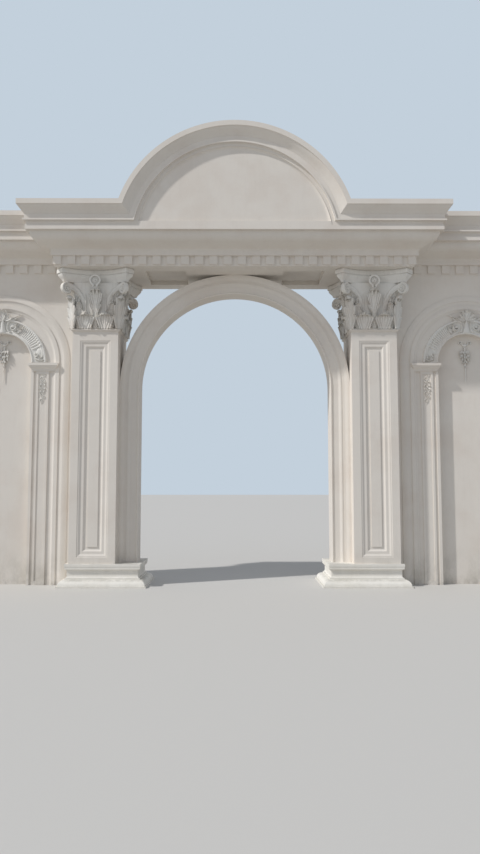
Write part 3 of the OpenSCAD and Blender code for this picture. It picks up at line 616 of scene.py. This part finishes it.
def band(path, wide, high, taper=0.35):
    """A raised band in the plane y = 0 along a path of x and z, round in front and narrower at its end."""
    path = np.asarray(path, float)
    along = unit(np.gradient(path, axis=0))
    normal = np.stack([-along[:, 1], along[:, 0]], axis=1)
    rings = []
    for i, (p, n) in enumerate(zip(path, normal)):
        share = i / (len(path) - 1)
        size = (1 - (1 - taper) * share) * math.sin(math.pi * min(0.5, 0.06 + 6 * min(share, 1 - share)))
        half = wide / 2 * size
        ring = [(p[0] + half * math.cos(a) * n[0], -high * (0.4 + 0.6 * size) * math.sin(a) ** 0.8,
                 p[1] + half * math.cos(a) * n[1]) for a in np.linspace(math.pi, 0, 6)]
        ring += [(p[0] + side * n[0], 0.3 * high, p[1] + side * n[1]) for side in (half, -half)]
        rings.append(ring)
    return lofted(rings)


def spiral(x, z, radius, start, sweep, inner=0.18, steps=56):
    """A path of x and z that winds from its outer radius inwards, by angles in degrees."""
    t = np.linspace(0, 1, steps)
    turn = np.radians(start + sweep * t)
    size = radius * (1 - (1 - inner) * t ** 0.8)
    return np.stack([x + size * np.cos(turn), z + size * np.sin(turn)], axis=1)


def polar(radius, degrees):
    """X and z at an angle above the springing line, about the middle of the arch."""
    return radius * math.cos(math.radians(degrees)), radius * math.sin(math.radians(degrees))


# Side by side on an arc in the plane y = 0, each pointing away from its middle
COPIES_ON_AN_ARC = ("copies_on_an_arc", {
    "Copied": "Object", "Count": "Int", "Radius": "Float", "First angle": "Float", "Last angle": "Float",
    "First size": "Float", "Last size": "Float", "Crowding": "Float", "Material": "Material",
}, {
    "gaps": ("SUBTRACT", "Count", 1),
    "steps": ("MAXIMUM", "gaps", 1),
    "even": ("DIVIDE", "index", "steps"),
    "share": ("POWER", "even", "Crowding"),
    "reach": ("SUBTRACT", "Last angle", "First angle"),
    "angle": ("MULTIPLY_ADD", "share", "reach", "First angle"),
    "cosine": ("COSINE", "angle"),
    "sine": ("SINE", "angle"),
    "x": ("MULTIPLY", "Radius", "cosine"),
    "z": ("MULTIPLY", "Radius", "sine"),
    "turn": ("SUBTRACT", math.pi / 2, "angle"),
    "growth": ("SUBTRACT", "Last size", "First size"),
    "size": ("MULTIPLY_ADD", "share", "growth", "First size"),
})

# In pairs down a hanging stem on the plane y = 0, opening outwards, largest in the middle
LEAVES_DOWN_A_STEM = ("leaves_down_a_stem", {
    "Copied": "Object", "Pairs": "Int", "Length": "Float", "Half width": "Float", "Leaf size": "Float",
    "Opening": "Float", "Seed": "Int", "Material": "Material",
}, {
    "Count": ("MULTIPLY", "Pairs", 2),
    "odd": ("MODULO", "index", 2),
    "side": ("MULTIPLY_ADD", "odd", 2, -1),
    "pair": ("DIVIDE", "index", 2),
    "level": ("FLOOR", "pair"),
    "gaps": ("SUBTRACT", "Pairs", 1),
    "share": ("DIVIDE", "level", "gaps"),
    "early": ("POWER", "share", 0.62),
    "half turn": ("MULTIPLY", "early", math.pi),
    "belly": ("SINE", "half turn"),
    "slim": ("MULTIPLY_ADD", "share", -0.12, 0.32),
    "swell": ("MULTIPLY_ADD", "belly", 0.70, "slim"),
    "reach": ("MULTIPLY", "swell", 0.34),
    "out": ("MULTIPLY", "Half width", "reach"),
    "x": ("MULTIPLY", "side", "out"),
    "y": ("MULTIPLY", "shake", 0.004),
    "down": ("MULTIPLY", "share", "Length"),
    "z": ("MULTIPLY", "down", -1.0),
    "tilt": ("MULTIPLY", "swell", 0.30),
    "lean": ("MULTIPLY_ADD", "shake", 0.22, "Opening"),
    "upright": ("SUBTRACT", math.pi, "lean"),
    "turn": ("MULTIPLY", "side", "upright"),
    "varied": ("MULTIPLY_ADD", "shake", 0.12, 1.0),
    "grown": ("MULTIPLY", "swell", "varied"),
    "size": ("MULTIPLY", "Leaf size", "grown"),
})


def copying_tree(name, inputs, sums):
    """A node tree that copies an object onto points and ends in real geometry with its material. Each sum is
    a step of arithmetic on numbers and, by their names, on the tree's inputs, a copy's index, its random
    shake and the sums before it. A copy's place is x, y and z, and tilt and turn are its rotation."""
    tree = bpy.data.node_groups.new(name, "GeometryNodeTree")
    tree.interface.new_socket("Geometry", in_out="OUTPUT", socket_type="NodeSocketGeometry")
    for title, kind in inputs.items():
        tree.interface.new_socket(title, in_out="INPUT", socket_type=f"NodeSocket{kind}")
    given = add_node(tree, "NodeGroupInput").node.outputs
    known = {title: given[title] for title in inputs}
    known["index"] = add_node(tree, "GeometryNodeInputIndex")
    if "Seed" in known:
        known["shake"] = add_node(tree, "FunctionNodeRandomValue", {2: -1.0, 3: 1.0, "ID": known["index"],
                                                                    "Seed": known["Seed"]}, 1)
    for title, (operation, *terms) in sums.items():
        known[title] = add_node(tree, "ShaderNodeMath", [known.get(term, term) for term in terms],
                                operation=operation)
    place, turn = (add_node(tree, "ShaderNodeCombineXYZ", [known.get(axis, 0.0) for axis in axes])
                   for axes in (("x", "y", "z"), ("tilt", "turn")))
    points = add_node(tree, "GeometryNodePoints", {"Count": known["Count"], "Position": place})
    source = add_node(tree, "GeometryNodeObjectInfo", {"Object": known["Copied"]}, "Geometry")
    copies = add_node(tree, "GeometryNodeInstanceOnPoints", {"Points": points, "Instance": source,
                                                             "Rotation": turn, "Scale": known["size"]})
    real = add_node(tree, "GeometryNodeRealizeInstances", (copies,))
    painted = add_node(tree, "GeometryNodeSetMaterial", {"Geometry": real, "Material": known["Material"]})
    add_node(tree, "NodeGroupOutput", (painted,))
    return tree


def grown(tree, shape, finish, values):
    """The points, faces and recess of a shape's copies, as a node tree sets them by its inputs' values."""
    source = Carving()
    source.add(shape)
    copied = source.piece("copied", finish)
    holder = shown(tree.name, bpy.data.meshes.new(tree.name))
    modifier = holder.modifiers.new(tree.name, "NODES")
    modifier.node_group = tree
    names = {s.name: s.identifier for s in tree.interface.items_tree if s.in_out == "INPUT"}
    for name, value in {**values, "Copied": copied, "Material": finish}.items():
        modifier[names[name]] = value
    plain = bpy.data.meshes.new_from_object(holder.evaluated_get(bpy.context.evaluated_depsgraph_get()))
    if not plain.polygons:
        raise RuntimeError(f"{tree.name} made nothing")
    points, recess = np.empty(len(plain.vertices) * 3), np.empty(len(plain.vertices))
    plain.vertices.foreach_get("co", points)
    plain.attributes["recess"].data.foreach_get("value", recess)
    faces = [list(p.vertices) for p in plain.polygons]
    # A mesh takes the object that shows it away with it.
    for mesh in (plain, holder.data, copied.data):
        bpy.data.meshes.remove(mesh)
    return points.reshape(-1, 3), faces, recess


def niche_places(side):
    """Where each face of a side bay has its ornament: from the springing's middle on the wall's face."""
    low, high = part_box(f"niche_arch_{side}")
    wall_low, wall_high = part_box(f"wall_{side}")
    middle = (low.x + high.x) / 2
    return placed(middle, wall_low.y, low.z), placed(middle, wall_high.y, low.z, 180)


def mirrored(made, shape, place):
    """Adds a shape and its mirror image on the other side of the middle."""
    for side in (1, -1):
        made.add(shape, place @ placed(scale=(side, 1, 1)))


def shell(made, side, settings, finish, tree):
    """Ribs round the head of a niche with their scalloped edge, the smooth lip and curl at each foot."""
    values = {"Count": settings.rib_count, "Radius": 0.452, "First size": 1.14, "Last size": 0.94,
              "First angle": math.radians(24), "Last angle": math.radians(60), "Crowding": 0.85}
    ribs = grown(tree, rib(0.142, 0.027, settings.rib_relief), finish, values)
    beads = grown(tree, ball(0.0150, 0.8, 7, 12), finish,
                  {**values, "Radius": 0.594, "First size": 1.75, "Last size": 0.75})
    lip = [polar(r, a) for r, a in ((0.592, 34), (0.612, 16), (0.600, 8), (0.548, 5.5))]
    sweep = [polar(r, a) for r, a in ((0.596, 5.5), (0.555, 1.5), (0.505, 3.5), (0.470, 8))]
    hook = spiral(*polar(0.490, 13), 0.036, 250, 430)
    frond = acanthus(0.150, 0.066, 60, hood=0.07, foot=0.5, lobes=2.2, cup=0.008, ridge=0.006, rib=0.006,
                     skin=0.010, rise=0.012, dome=0.01, rows=26, columns=8)
    pad_x, pad_z = polar(0.546, 15.5)
    pad = ball(1.0, 0.30, 9, 24)
    for place in niche_places(side):
        at = place @ placed(y=-0.008)
        mirrored(made, ribs, at)
        mirrored(made, beads, at @ placed(y=-0.012))
        mirrored(made, band(wave(lip), 0.030, 0.026, taper=0.8), at)
        mirrored(made, band(hook, 0.022, 0.026), at)
        mirrored(made, band(wave(sweep), 0.026, 0.020, taper=0.7), at)
        for flip in (1, -1):
            made.add(pad, at @ placed(flip * pad_x, 0, pad_z, scale=(0.040, 0.040, 0.062)))
            for radius, degrees, turn, size in ((0.480, 4.0, 62, 0.72), (0.520, 3.0, 85, 0.62),
                                                (0.462, 63.5, 30, 0.98), (0.470, 69.0, 17, 0.92)):
                x, z = polar(radius, degrees)
                made.add(frond, at @ tilted(flip * x, z, flip * turn, size))


def keystone(made, side, settings, finish, tree):
    """The fan of leaves over the crown, its wedge, and the scrolls and tendrils beside it."""
    smooth = {"ridges": 1, "notch": 0.0, "rise": 0.0, "dome": 0.0}
    petal = {"top": 0.75, "cup": 0.010, "ridge": 0.004, "rib": 0.006, "skin": 0.010, "rows": 22,
             "columns": 6, **smooth}
    fan = grown(tree, acanthus(0.160, 0.056, 62, hood=0.07, foot=0.40, **petal), finish,
                {"Count": settings.fan_lobes, "Radius": 0.020, "First size": 0.92, "Last size": 0.80,
                 "First angle": math.radians(68), "Last angle": math.radians(14), "Crowding": 1.0})
    middle_leaf = acanthus(0.180, 0.066, 70, hood=0.075, foot=0.45, **petal)
    ray = acanthus(0.105, 0.032, 30, hood=0.04, foot=0.45, top=0.7, cup=0.004, ridge=0.003, rib=0.005,
                   skin=0.010, rows=16, columns=4, **smooth)
    fan_foot = 0.598
    # Half width, depth and height of the wedge's sections, each with a flat front between two slopes
    wedge = lofted([[(-w, -d, z), (-w * 0.2, -d - 0.012, z), (w * 0.2, -d - 0.012, z), (w, -d, z),
                     (w, 0.01, z), (-w, 0.01, z)]
                    for w, d, z in ((0.048, 0.012, 0.430), (0.036, 0.018, 0.47), (0.020, 0.024, 0.55),
                                    (0.010, 0.030, 0.60))])
    coil = band(spiral(0.140, 0.508, 0.052, 60, -500, 0.20, 80), 0.022, 0.026, taper=0.5)
    sweep = np.concatenate([wave([(0.125, 0.438), (0.080, 0.425), (0.052, 0.470), (0.062, 0.535)], 24)[:-1],
                            wave([(0.062, 0.535), (0.078, 0.615), (0.165, 0.655), (0.258, 0.688)], 30)])
    stalk = band(sweep, 0.021, 0.026)
    knob = ball(0.017, 0.9, 7, 14)
    for place in niche_places(side):
        at = place @ placed(y=-0.014)
        lifted = at @ placed(0, -0.012, fan_foot)
        mirrored(made, fan, lifted)
        made.add(middle_leaf, lifted @ placed(y=-0.006))
        made.add(wedge, at)
        mirrored(made, coil, at)
        mirrored(made, stalk, at)
        for flip in (1, -1):
            made.add(knob, at @ placed(flip * 0.137, -0.014, 0.512))
            for x, z, turn, size in ((0.095, 0.575, 38, 0.9), (0.120, 0.582, 52, 0.95),
                                     (0.062, 0.560, 24, 0.8)):
                made.add(ray, at @ tilted(flip * x, z, flip * turn, size))


def garland(made, side, settings, finish, tree):
    """The hanging garland in a niche: a bow of two curls, leaves that open to a point and a bare tail."""
    leaf = acanthus(0.105, 0.056, 75, hood=0.06, foot=0.6, lobes=1.6, cup=0.010, ridge=0.006, rib=0.007,
                    skin=0.012, rise=0.012, dome=0.01, rows=20, columns=6)
    values = {"Pairs": settings.garland_levels, "Length": 0.27, "Half width": 0.110, "Leaf size": 1.08,
              "Opening": 0.62, "Seed": 4}
    outer = grown(tree, leaf, finish, values)
    inner = grown(tree, leaf, finish, {**values, "Leaf size": 0.72, "Opening": 0.16, "Half width": 0.04,
                                       "Seed": 9, "Length": 0.36})
    bow = band(spiral(0.070, 0.298, 0.032, 210, -470, 0.2), 0.018, 0.030)
    ribbon = band(wave([(-0.004, 0.235), (0.010, 0.265), (0.028, 0.262), (0.046, 0.285)]), 0.020, 0.028,
                  taper=0.8)
    stem = tube([(0, 0, 0.24 - 0.51 * t) for t in np.linspace(0, 1, 14)], np.linspace(0.014, 0.006, 14), 10)
    bud = ball(0.022, 1.1, 8, 16)
    for place in niche_places(side):
        at = place @ placed(y=0.072, scale=(1, 0.6, 1))
        made.add(outer, at @ placed(z=0.240))
        made.add(inner, at @ placed(0, -0.016, 0.250))
        mirrored(made, bow, at)
        mirrored(made, ribbon, at)
        made.add(stem, at @ placed(y=-0.010))
        made.add(bud, at @ placed(0, -0.022, 0.262))


def pilaster_spray(made, side, settings, finish, tree):
    """The drops of curls and leaves in the sunk strips beside a niche, front and back: a winding stem with a
    curl in each of its bends and a pair of leaves under each curl."""
    step = 0.052
    leaf = acanthus(0.070, 0.036, 80, hood=0.04, foot=0.6, cup=0.004, ridge=0.003, rib=0.004, skin=0.006,
                    rise=0.008, dome=0.005, rows=16, columns=5)
    leaves = grown(tree, leaf, finish,
                   {"Pairs": settings.spray_levels, "Length": step * (settings.spray_levels - 1),
                    "Half width": 0.060, "Leaf size": 0.80, "Opening": 0.62, "Seed": 2})
    down = np.linspace(0, step * settings.spray_levels, 90)
    stem = band(np.stack([-0.013 * np.cos(math.pi * down / step), -down], axis=1), 0.011, 0.014, taper=0.5)
    curl = band(spiral(0.017, 0, 0.026, 125, -480, 0.2, 32), 0.011, 0.015, taper=0.6)
    low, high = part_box(f"niche_pilasters_{side}")
    strip_x = 0.582
    on_strip = 0.012
    under_top = 0.055
    for turn, face in ((0, low.y), (180, -high.y)):
        middle = placed((low.x + high.x) / 2, turn=turn)
        for strip in (-1, 1):
            place = middle @ placed(strip * strip_x, face + on_strip, high.z - under_top)
            made.add(leaves, place @ placed(z=-0.4 * step))
            made.add(stem, place)
            for level in range(settings.spray_levels):
                made.add(curl, place @ placed(z=-step * level, scale=((-1) ** level, 1, 1)))


# Operators

class GATE_OT_stage(bpy.types.Operator):
    """Set the camera where the picture was taken, the plain floor, the backdrop and the soft lamps"""
    bl_idname = "gate.stage"
    bl_label = "Stage"

    def execute(self, context):
        settings = context.scene.gate_stage
        self.camera(context.scene, settings)
        self.floor(settings)
        self.light(context.scene, settings)
        context.scene.view_settings.view_transform = "Standard"
        return {"FINISHED"}

    def camera(self, scene, settings):
        data = bpy.data.cameras.new("camera")
        data.sensor_fit = "VERTICAL"
        data.sensor_height = 36.0
        data.lens = data.sensor_height / 2 / math.tan(settings.field / 2)
        data.clip_end = 500
        camera = shown("camera", data)
        camera.location = settings.eye
        camera.rotation_euler = (math.pi / 2 + settings.pitch, 0, -settings.yaw)
        scene.camera = camera

    def floor(self, settings):
        half = settings.floor_size / 2
        mesh = bpy.data.meshes.new("floor")
        corners = [(-half, -half, 0), (half, -half, 0), (half, half, 0), (-half, half, 0)]
        mesh.from_pydata(corners, [], [(0, 1, 2, 3)])
        # A matt studio floor that the camera sees paler than it throws light back
        surface, tree = new_material("plain_floor")
        ray = add_node(tree, "ShaderNodeLightPath", output="Is Camera Ray")
        tint = add_node(tree, "ShaderNodeMix", {0: ray, 6: settings.floor_bounce, 7: settings.floor}, 2,
                        data_type="RGBA")
        shader = add_node(tree, "ShaderNodeBsdfPrincipled", {"Base Color": tint, "Roughness": 0.9})
        add_node(tree, "ShaderNodeOutputMaterial", {"Surface": shader})
        mesh.materials.append(surface)
        shown("floor", mesh)

    def light(self, scene, settings):
        for name, power, toward, softness in (("key", settings.key_power, (0.655, 0.285, -0.70), 1.5),
                                              ("low", settings.low_power, (0.78, 0.60, -0.12), 25)):
            lamp = bpy.data.lights.new(name, "SUN")
            lamp.energy = power
            lamp.angle = math.radians(softness)
            lamp.color = (1.0, 0.98, 0.955)
            shown(name, lamp).rotation_euler = Vector(toward).to_track_quat("-Z", "Y").to_euler()
        world = bpy.data.worlds.new("studio")
        world.use_nodes = True
        scene.world = world
        tree = world.node_tree
        tree.nodes.clear()
        seen = add_node(tree, "ShaderNodeBackground", {"Color": settings.backdrop, "Strength": 1.0})
        fill = add_node(tree, "ShaderNodeBackground",
                        {"Color": settings.fill, "Strength": settings.fill_power})
        ray = add_node(tree, "ShaderNodeLightPath", output="Is Camera Ray")
        both = add_node(tree, "ShaderNodeMixShader", (ray, fill, seen))
        add_node(tree, "ShaderNodeOutputWorld", (both,))


class GATE_OT_limewash(bpy.types.Operator):
    """Give every node of the masonry its limewashed finish"""
    bl_idname = "gate.limewash"
    bl_label = "Limewash"

    def execute(self, context):
        slots = {s["node"]: s["material_slot"] for s in frame["record"]["subparts"]}
        for name, node in frame["nodes"].items():
            finish = limewash(slots[name])
            if not node.data.materials:
                node.data.materials.append(finish)
            for index in range(len(node.data.materials)):
                node.data.materials[index] = finish
        return {"FINISHED"}


class GATE_OT_capitals(bpy.types.Operator):
    """Carve the capitals with their leaves, scrolls and flowers"""
    bl_idname = "gate.capitals"
    bl_label = "Capitals"

    def execute(self, context):
        for side in SIDES:
            made = Carving()
            capital(made, side, context.scene.gate_capital)
            piece = made.piece(f"carved_capital_{side}", limewash("carved_work"))
            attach(piece, BODY)
            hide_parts(f"capital_{side}", f"capital_carving_{side}", f"abacus_{side}")
        return {"FINISHED"}


def carve_bays(context, title, carve, copying, replaced=None):
    """Carves one kind of ornament on both side bays, with the node tree that copies its leaves or ribs."""
    finish = limewash("carved_work")
    tree = copying_tree(*copying)
    for side in SIDES:
        made = Carving()
        carve(made, side, context.scene.gate_niche, finish, tree)
        piece = made.piece(f"{title}_{side}", finish)
        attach(piece, BODY)
        if replaced:
            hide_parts(f"{replaced}_{side}")
    return {"FINISHED"}


class GATE_OT_shells(bpy.types.Operator):
    """Carve the ribbed shells round the heads of the niches"""
    bl_idname = "gate.shells"
    bl_label = "Shells"

    def execute(self, context):
        return carve_bays(context, "shell_ribs", shell, COPIES_ON_AN_ARC)


class GATE_OT_keystones(bpy.types.Operator):
    """Carve the fans of leaves and the scrolls over the crowns of the niches"""
    bl_idname = "gate.keystones"
    bl_label = "Keystones"

    def execute(self, context):
        return carve_bays(context, "carved_keystones", keystone, COPIES_ON_AN_ARC, "keystones")


class GATE_OT_garlands(bpy.types.Operator):
    """Carve the garlands that hang in the niches"""
    bl_idname = "gate.garlands"
    bl_label = "Garlands"

    def execute(self, context):
        return carve_bays(context, "carved_garlands", garland, LEAVES_DOWN_A_STEM, "drops")


class GATE_OT_sprays(bpy.types.Operator):
    """Carve the leafy drops on the pilasters beside the niches"""
    bl_idname = "gate.sprays"
    bl_label = "Sprays"

    def execute(self, context):
        return carve_bays(context, "pilaster_sprays", pilaster_spray, LEAVES_DOWN_A_STEM)


class GATE_PT_panel(bpy.types.Panel):
    """The gate's making, step by step"""
    bl_label = "Gate"
    bl_idname = "GATE_PT_panel"
    bl_space_type = "VIEW_3D"
    bl_region_type = "UI"
    bl_category = "Gate"

    def draw(self, context):
        for operator in OPERATORS:
            self.layout.operator(operator.bl_idname)


OPERATORS = (GATE_OT_stage, GATE_OT_limewash, GATE_OT_capitals, GATE_OT_shells, GATE_OT_keystones,
             GATE_OT_garlands, GATE_OT_sprays)
CLASSES = (*SETTINGS.values(), *OPERATORS, GATE_PT_panel)


def register():
    for made in CLASSES:
        bpy.utils.register_class(made)
    for name, settings in SETTINGS.items():
        setattr(bpy.types.Scene, name, PointerProperty(type=settings))


def unregister():
    for name in SETTINGS:
        delattr(bpy.types.Scene, name)
    for made in reversed(CLASSES):
        bpy.utils.unregister_class(made)


def main():
    register()
    bpy.ops.gate.stage()
    bpy.ops.gate.limewash()
    bpy.ops.gate.capitals()
    bpy.ops.gate.shells()
    bpy.ops.gate.keystones()
    bpy.ops.gate.garlands()
    bpy.ops.gate.sprays()


if __name__ == "__main__":
    main()
